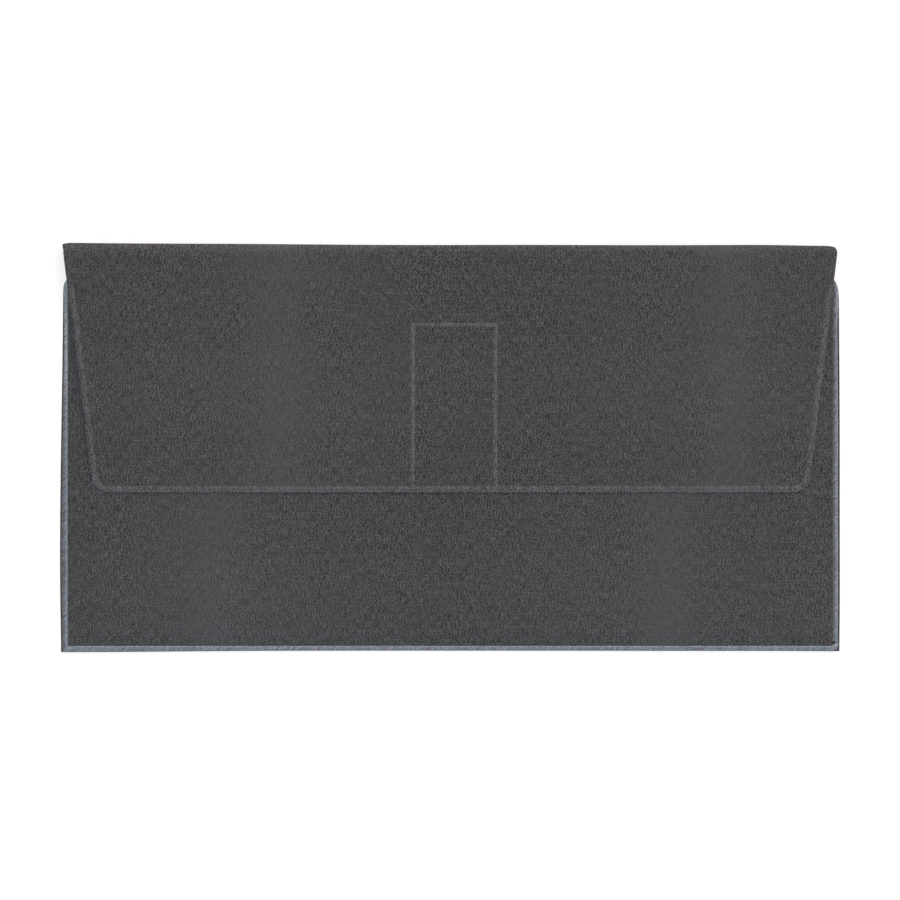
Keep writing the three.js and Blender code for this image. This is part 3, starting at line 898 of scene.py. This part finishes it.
# Weld beads: crowned strips with slanting ribs pressed across them
seamCut = {
    "margin": 0.35,  # cut edge of the back sheet outside the left bead
    "rightMargin": 0.54,
    "marginEnd": (1, (-0.75, 36, 48)),  # it runs out at the shoulder
    "lap": 0.02,
    "innerHeight": 0.6,  # beside the front sheet
    "outerHeight": 0.45,
    "crown": 0.17,  # how far the middle stands above the sides
    "sideEndDrop": 0.12, "bottomEndDrop": 0.15, "ribMiddle": 0.56, "ribTop": 0.78,
    "ribReach": 0.98, "ribUneven": (0.9, 1.08),
    "tip": 0.6,  # width at the shoulder
    "pitch": 0.86, "slant": 38.0, "ribWide": 0.42, "ribSides": 6, "ribRings": 4,
    "acrossSteps": 8, "sideSpacing": 1.6, "tipSpacing": 0.35, "bottomSpacing": 1.7,
    "cornerRows": (1, 0.25),
    "tilt": 0.07,  # of the bottom bead's upper line, down to the left
    "rightStart": -59.7,  # the right bead stops short of the bottom one
    "rightSlope": 0.35,
    "turnUp": 0.8,  # the bottom bead's right end turns up
    "turnUpShort": 0.3,
    "lowTurn": (0.6, 1.1),  # and its lower line with it: how far, over what
    "gapShadeTone": 0.55,  # the gaps between the ribs are painted darker as painted shade, and each rib's tone differs a little
    "ribTone": (0.02, 0.4), "toneSeed": 11, "toneEnds": (-0.6, 1.3), "rubAndSheen": (0, (0.2, 1.1, 1.22)),
}
# Looks across each bead, outwards from the pocket, and the painted light up its length, where the flap
# shades it
seamMarks = {
    # the tone across each bead is partly painted light: it is lighter on the side that faces the lamp, the
    # right side of the side beads and the top of the bottom bead
    "leftSeam": {
        "tone": (0.02, (0.6, 1.06, 0.58), (-0.36, 0.35, 0.05)),
        "plain": (0.42, (0.23, 0.45, 0.15), (0.24, 0.2, 0.4), (-0.24, 0.85, 1.05), (0.1, 0.8, 1.2)),
        "outerPlain": (0,),
        "paintedLight": (0, (1, 2, 48)),
        "seed": 3,
    },
    "rightSeam": {
        "tone": (0, (0.4, 0.4, 1.1), (0.66, 1.3, 1.55), (-0.14, 0.25, 0.5), (0.14, 0.65, 0.9)),
        "plain": (0.42, (0.43, 0.45, 0.15), (0.22, 0.5, 0.75)),
        "outerPlain": (0, (0.95, 1.3, 1.5)),
        "paintedLight": (0, (0.25, 20, 48)),
        "seed": 5,
    },
    "bottomSeam": {
        "tone": (0.42, (0.56, 0.6, 0.2)),
        "plain": (0.55, (0.2, 0.5, 0.1)),
        "outerPlain": (0,),
        "paintedLight": (0,),
        "seed": 7,
    },
}


def makeRibTree():
    tree = begin(bpy.data.node_groups.new("seamRibs", "GeometryNodeTree"))
    sockets = {}
    for label, kind in (
        ("Path", "Geometry"), ("Pitch", "Float"), ("Slant", "Float"), ("Rib Width", "Float"),
        ("Rib Height", "Float"), ("Seed", "Int"), ("Finish", "Material"),
    ):
        socket = tree.interface.new_socket(label, in_out="INPUT", socket_type="NodeSocket" + kind)
        sockets[label] = socket.identifier
    tree.interface.new_socket("Ribs", in_out="OUTPUT", socket_type="NodeSocketGeometry")
    given, end = tree.nodes.new("NodeGroupInput").outputs, tree.nodes.new("NodeGroupOutput")

    def step(kind, inputs=None, **settings):
        return addNode(kind, inputs, **settings).outputs[0]

    curve = step("GeometryNodeMeshToCurve", {"Mesh": given["Path"]})
    spaced = step("GeometryNodeResampleCurve", {"Curve": curve, "Length": given["Pitch"]}, mode="LENGTH")
    reach = step("GeometryNodeInputNamedAttribute", {"Name": "reach"}, data_type="FLOAT")
    low, high = seamCut["ribUneven"]
    uneven = addNode(
        "FunctionNodeRandomValue", {2: low, 3: high, "Seed": given["Seed"]}, data_type="FLOAT",
    ).outputs[1]
    tangent = step("GeometryNodeInputTangent")
    along = step("FunctionNodeAlignRotationToVector", {"Vector": tangent}, axis="Y", pivot_axis="Z")
    lean = step("FunctionNodeEulerToRotation", {"Euler": step("ShaderNodeCombineXYZ", {2: given["Slant"]})})
    turning = {"Rotation": along, "Rotate By": lean}
    turned = step("FunctionNodeRotateRotation", turning, rotation_space="LOCAL")
    height = product(given["Rib Height"], uneven)
    size = step("ShaderNodeCombineXYZ", {0: reach, 1: given["Rib Width"], 2: height})
    ball = {"Segments": seamCut["ribSides"], "Rings": seamCut["ribRings"], "Radius": 0.5}
    rib = step("GeometryNodeMeshUVSphere", ball)
    placing = {"Points": spaced, "Instance": rib, "Rotation": turned, "Scale": size}
    smooth = step("GeometryNodeSetShadeSmooth", {"Geometry": step("GeometryNodeInstanceOnPoints", placing)})
    real = step("GeometryNodeRealizeInstances", {"Geometry": smooth})
    finished = step("GeometryNodeSetMaterial", {"Geometry": real, "Material": given["Finish"]})
    tree.links.new(finished, end.inputs["Ribs"])
    return tree, sockets


ribTree, ribSockets = makeRibTree()


def makeRibs(name, path, reach, lean):
    slant = math.radians(seamCut["slant"])
    mesh = bpy.data.meshes.new(name + "Path")
    mesh.from_pydata((path * mm).tolist(), [(i, i + 1) for i in range(len(path) - 1)], [])
    setMark(mesh, "reach", reach / math.cos(slant) * seamCut["ribReach"] * mm)
    holder = placeObject(name + "Path", mesh)
    ribs = holder.modifiers.new("ribs", "NODES")
    ribs.node_group = ribTree
    for label, value in (
        ("Pitch", seamCut["pitch"] * mm), ("Slant", lean * slant), ("Rib Width", seamCut["ribWide"] * mm),
        ("Rib Height", 2 * (seamCut["ribTop"] - seamCut["ribMiddle"]) * mm),
        ("Seed", seamMarks[name]["seed"]), ("Finish", seamVinyl),
    ):
        ribs[ribSockets[label]] = value
    shown = holder.evaluated_get(bpy.context.evaluated_depsgraph_get())
    made = bpy.data.meshes.new_from_object(shown)
    holder.modifiers.remove(ribs)
    bpy.data.objects.remove(holder)
    return made


def joinSeam(name, x, y, z, path, reach, lean, outwardOf):
    base = coverThick - seamCut["lap"]
    body = sheetMesh(name + "Body", level(x, y, z), level(x, y, base), np.stack([x, y], -1), {})
    ribs = makeRibs(name, level(*path, coverThick + seamCut["ribMiddle"]), reach, lean)
    joined = bmesh.new()
    joined.from_mesh(body)
    joined.from_mesh(ribs)
    mesh = bpy.data.meshes.new(name)
    joined.to_mesh(mesh)
    joined.free()
    points = np.zeros(3 * len(mesh.vertices))
    mesh.vertices.foreach_get("co", points)
    points = points.reshape(-1, 3) / mm
    marks, outward = seamMarks[name], outwardOf(points)
    plain = np.maximum(eased(outward, *marks["plain"]), eased(outward, *marks["outerPlain"]))
    # painted shade in the gaps between the ribs
    proud = seamCut["gapShadeTone"] * (plain - 1)
    perRib = seamCut["ribSides"] * (seamCut["ribRings"] - 1) + 2
    draws = np.random.default_rng(seamCut["toneSeed"]).standard_normal(len(ribs.vertices) // perRib)
    proud[len(body.vertices):] = np.repeat(seamCut["ribTone"][0] + seamCut["ribTone"][1] * draws, perRib)
    # tone across the bead, partly painted light on the side that faces the lamp
    setMark(mesh, "tone", np.clip(eased(outward, *marks["tone"]) + proud, *seamCut["toneEnds"]))
    # painted light up the bead, where the flap shades it
    setMark(mesh, "paintedLight", eased(points[:, 1], *marks["paintedLight"]))
    setMark(mesh, "rubAndSheen", eased(points[:, 2], *seamCut["rubAndSheen"]))
    for layer in list(mesh.uv_layers):
        mesh.uv_layers.remove(layer)
    return addPiece(name, mesh, seamVinyl)


beadInner = innerSide - seamCut["lap"]
tipX = beadInner - shoulderX + seamCut["tip"]
beadEnd = shoulderStart + math.sqrt(pocketCut["shoulder"] ** 2 - tipX**2)
beadMiddle = seamCut["acrossSteps"] // 2


def beadTop(share):
    # share runs from the inner side to the outer
    slope = seamCut["innerHeight"] + (seamCut["outerHeight"] - seamCut["innerHeight"]) * share
    return coverThick + slope + seamCut["crown"] * np.sin(math.pi * share)


def makeSideSeam(name, side):
    left = side < 0
    share = np.linspace(0, 1, seamCut["acrossSteps"] + 1)
    lowest = innerBottom - seamCut["tilt"] if left else seamCut["rightStart"]
    ys = stations(beadEnd, (lowest, seamCut["sideSpacing"]), (shoulderStart, seamCut["tipSpacing"]))
    y = np.repeat(ys[:, None], share.size, 1)
    y[0] = lowest - (pocketCut["seam"] if left else seamCut["rightSlope"]) * share
    margin = seamCut["margin" if left else "rightMargin"] * eased(y, *seamCut["marginEnd"])
    x = beadInner + (backHalf(y, side) - margin - beadInner) * share
    z = np.broadcast_to(beadTop(share), x.shape).copy()
    z[-1] -= seamCut["sideEndDrop"]
    if left:
        x, y, z = -x[:, ::-1], y[:, ::-1], z[:, ::-1]
    path, reach = (x[1:, beadMiddle], y[1:, beadMiddle]), np.abs(x[1:, -1] - x[1:, 0])
    return joinSeam(name, x, y, z, path, reach, 1, lambda points: np.abs(points[:, 0]) - beadInner)


def makeBottomSeam(name):
    share = np.linspace(0, 1, seamCut["acrossSteps"] + 1)[:, None]
    corner = pocketCut["side"] - seamCut["margin"]
    cornerStrip, cornerSpacing = seamCut["cornerRows"]
    xs = stations(corner, (-beadInner, seamCut["bottomSpacing"]), (beadInner - cornerStrip, cornerSpacing))
    short, (lowTurn, lowOver) = seamCut["turnUpShort"], seamCut["lowTurn"]
    turnUp = seamCut["turnUp"] * ease(xs, beadInner - short, corner - short)
    top = innerBottom + seamCut["tilt"] * xs / beadInner + turnUp
    low = bottomEdge + bottomTrim(xs) + lowTurn * ease(xs, corner - lowOver, corner)
    x = np.tile(xs, (share.size, 1))
    x[:, 0] = -(beadInner + (corner + sideTrim(bottomEdge, -1) - beadInner) * (1 - share[:, 0]))
    y = low + (top - low) * share
    z = np.broadcast_to(beadTop(1 - share), x.shape).copy()
    z[:, -1] -= seamCut["bottomEndDrop"]
    path, reach = (x[beadMiddle], y[beadMiddle]), y[-1] - y[0]
    return joinSeam(name, x, y, z, path, reach, -1, lambda points: innerBottom - points[:, 1])


# Clear card pockets on the lining, open above with a thumb notch
cardCut = {
    "corner": 3.0, "cornerSteps": 7, "notch": 9.0, "notchSteps": 13, "notchGap": 0.5,
    "spacing": 1.5, "rows": 34,
    "belly": 0.05,  # how far the film swells
    "thin": 0.03,
    "weldLines": (2.0, 1.84, 1.5, 1.0, 0.5, 0.16, 0),  # from the inside of the weld to its edge
    "weldCrown": 0.06,
    "weldSteps": (30, 8, 50),  # down a side, round a corner and along the bottom
    "rim": 0.03,
}


def makeCardWindow(name, node):
    low, high = nodeBox(node)
    middle, half = (low[0] + high[0]) / 2, (high[0] - low[0]) / 2
    corner, notch, spacing = cardCut["corner"], cardCut["notch"], cardCut["spacing"]
    across = np.concatenate([
        -half + corner * (1 - np.cos(np.linspace(0, quarter, cardCut["cornerSteps"]))),
        np.arange(-half + corner + spacing, -notch - cardCut["notchGap"], spacing),
        -notch * np.cos(np.linspace(0, quarter, cardCut["notchSteps"])),
    ])
    across = np.concatenate([across, -across[-2::-1]])
    overCorner = np.clip(np.abs(across) - (half - corner), 0, corner)
    bottom = low[1] + corner - np.sqrt(corner**2 - overCorner**2)
    top = high[1] - np.sqrt(np.clip(notch**2 - across**2, 0, None))
    rise = np.linspace(0, 1, cardCut["rows"])[:, None]
    y = bottom + (top - bottom) * rise
    x = np.broadcast_to((middle + across), y.shape)
    swell = np.sin(math.pi * np.clip((across + half) / (2 * half), 0, 1))
    belly = cardCut["belly"] * swell * rise
    upper = high[2] + belly - cardCut["thin"]
    return sheetPiece(name, x, y, upper, low[2] + belly, clearFilm, rim=cardCut["rim"])


def makeCardWeld(name, node):
    low, high = nodeBox(node)
    middle, half = (low[0] + high[0]) / 2, (high[0] - low[0]) / 2
    corner, insets = cardCut["corner"], cardCut["weldLines"]
    x, y = edgeGrid(insets, corner, half - corner, low[1], high[1], 0, lambda y: half + 0 * y,
                    cardCut["weldSteps"])
    crown = cardCut["weldCrown"] * (np.sin(math.pi * np.linspace(0, 1, len(insets))) - 1)
    return sheetPiece(name, middle + x, y, high[2] + crown, low[2], filmWeld, rim=cardCut["rim"])


makeBackSheet()
makeBackLining()
makeFrontSheet()
print("pocket sheets laid")

makeSideSeam("leftSeam", -1)
makeSideSeam("rightSeam", 1)
makeBottomSeam("bottomSeam")
print("seams welded")

for side in ("left", "right"):
    makeCardWindow(side + "CardWindow", side + "_card_window")
for side in ("left", "right"):
    makeCardWeld(side + "CardWeld", side + "_card_weld")
print("card pockets set in")

makeFlapSheet()
makeFlapLining()
makeFlapWeld()
print("flap laid")

liningThick = backLiningHigh[2] - backLiningLow[2]
liningRadius = nodeBox("spine_lining")[1][1] - creaseY - liningThick / 2
for name, radius, thick, finish in (
    ("fold", coverRadius, coverThick, grainedVinyl), ("foldLining", liningRadius, liningThick, linenLining),
):
    for end, upperHalf in (("Back", False), ("Front", True)):
        addPiece(name + end, foldHalfMesh(name + end, radius, thick, upperHalf), finish)
print("fold turned")

# What each piece moves with, stands for and is finished as
for name, body, node, slot in (
    ("backSheet", "pocket", "back_cover", "grained_cover"),
    ("backLining", "pocket", "back_lining", "lining"),
    ("frontSheet", "pocket", "front_cover", "grained_cover"),
    ("leftSeam", "pocket", "left_seam", "seam_weld"),
    ("rightSeam", "pocket", "right_seam", "seam_weld"),
    ("bottomSeam", "pocket", "bottom_seam", "seam_weld"),
    ("leftCardWindow", "pocket", "left_card_window", "clear_film"),
    ("rightCardWindow", "pocket", "right_card_window", "clear_film"),
    ("leftCardWeld", "pocket", "left_card_weld", "film_weld"),
    ("rightCardWeld", "pocket", "right_card_weld", "film_weld"),
    ("flapSheet", "flap", "flap_cover", "grained_cover"),
    ("flapLining", "flap", "flap_lining", "lining"),
    ("flapWeld", "flap", "flap_weld", "flap_weld"),
):
    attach(pieces[name], body)
    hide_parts(node)

# Each half of the fold gets its transform baked in and its CAD part hidden; the (y, z) pairs, between which
# it would bend from one body to the next, are not used
for name, node, slot, (inY, inZ), (outY, outZ) in (
    ("fold", "spine_cover", "grained_cover", (60.9, 0.2), (62.425, 1.725)),
    ("foldLining", "spine_lining", "lining", (60.9, 0.6), (62.075, 1.775)),
):
    lower, upper = pieces[name + "Back"], pieces[name + "Front"]
    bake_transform(lower)
    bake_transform(upper)
    for half in (lower, upper):
        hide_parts(node)

print("pieces joined to the bodies")

# Floor, light and camera, in metres
studio = {
    "floorReach": 4.0, "floorHeight": -0.0002, "floorColour": (0.530, 0.517, 0.513, 1),
    "floorLift": 0.645,  # brings the floor up to white for the eye only
    "floorGlow": (1.0, 0.979, 0.973, 1), "sky": (0.765, 0.852, 0.882, 1),
    "lampColour": (1.0, 0.653, 0.529), "lampPower": 0.924, "lampFrom": (0.40, 0.58, 1.0),
    "lampSpread": 16.0, "lens": 500.0, "sensor": 36.0, "viewEnd": 50.0,
    "viewWide": 0.278,  # what the picture's width takes in, at the height below
    "viewHeight": 0.003, "viewMiddle": (-0.00008, -0.0006),
}


def eyeRays():
    path = addNode("ShaderNodeLightPath").outputs
    seen = math2("ADD", path["Is Camera Ray"], path["Is Glossy Ray"])
    return math2("ADD", seen, path["Is Transmission Ray"], clamp=True)


def makeFloor():
    mesh = bpy.data.meshes.new("floor")
    reach, height = studio["floorReach"], studio["floorHeight"]
    corners = [(x * reach, y * reach, height) for x, y in ((-1, -1), (1, -1), (1, 1), (-1, 1))]
    mesh.from_pydata(corners, [], [(0, 1, 2, 3)])
    material = bpy.data.materials.new("paleFloor")
    material.use_nodes = True
    begin(material.node_tree).nodes.clear()
    plain = addNode("ShaderNodeBsdfDiffuse", {"Color": studio["floorColour"]})
    lift = product(eyeRays(), studio["floorLift"])
    glow = addNode("ShaderNodeEmission", {"Color": studio["floorGlow"], "Strength": lift})
    both = addNode("ShaderNodeAddShader", {0: plain.outputs[0], 1: glow.outputs[0]})
    addNode("ShaderNodeOutputMaterial", {"Surface": both.outputs[0]})
    return addPiece("floor", mesh, material)


def makeSky():
    world = bpy.data.worlds.new("softRoom")
    scene.world = world
    world.use_nodes = True
    begin(world.node_tree).nodes.clear()
    colour = mixColour(eyeRays(), studio["sky"], (1, 1, 1, 1))
    background = addNode("ShaderNodeBackground", {"Color": colour, "Strength": 1.0})
    addNode("ShaderNodeOutputWorld", {"Surface": background.outputs[0]})


def makeLamp():
    lamp = bpy.data.lights.new("windowLamp", "SUN")
    lamp.energy = studio["lampPower"]
    lamp.color = studio["lampColour"]
    lamp.angle = math.radians(studio["lampSpread"])
    holder = placeObject("windowLamp", lamp)
    holder.rotation_euler = (-Vector(studio["lampFrom"])).to_track_quat("-Z", "Y").to_euler()


def makeCamera():
    view = bpy.data.cameras.new("overhead")
    view.lens = studio["lens"]
    view.sensor_width = studio["sensor"]
    view.clip_end = studio["viewEnd"]
    away = studio["viewWide"] * studio["lens"] / studio["sensor"]
    scene.camera = placeObject("overhead", view)
    scene.camera.location = (*studio["viewMiddle"], studio["viewHeight"] + away)


makeFloor()
makeSky()
makeLamp()
makeCamera()
scene.view_settings.view_transform = "Standard"
print("floor, light and camera set")
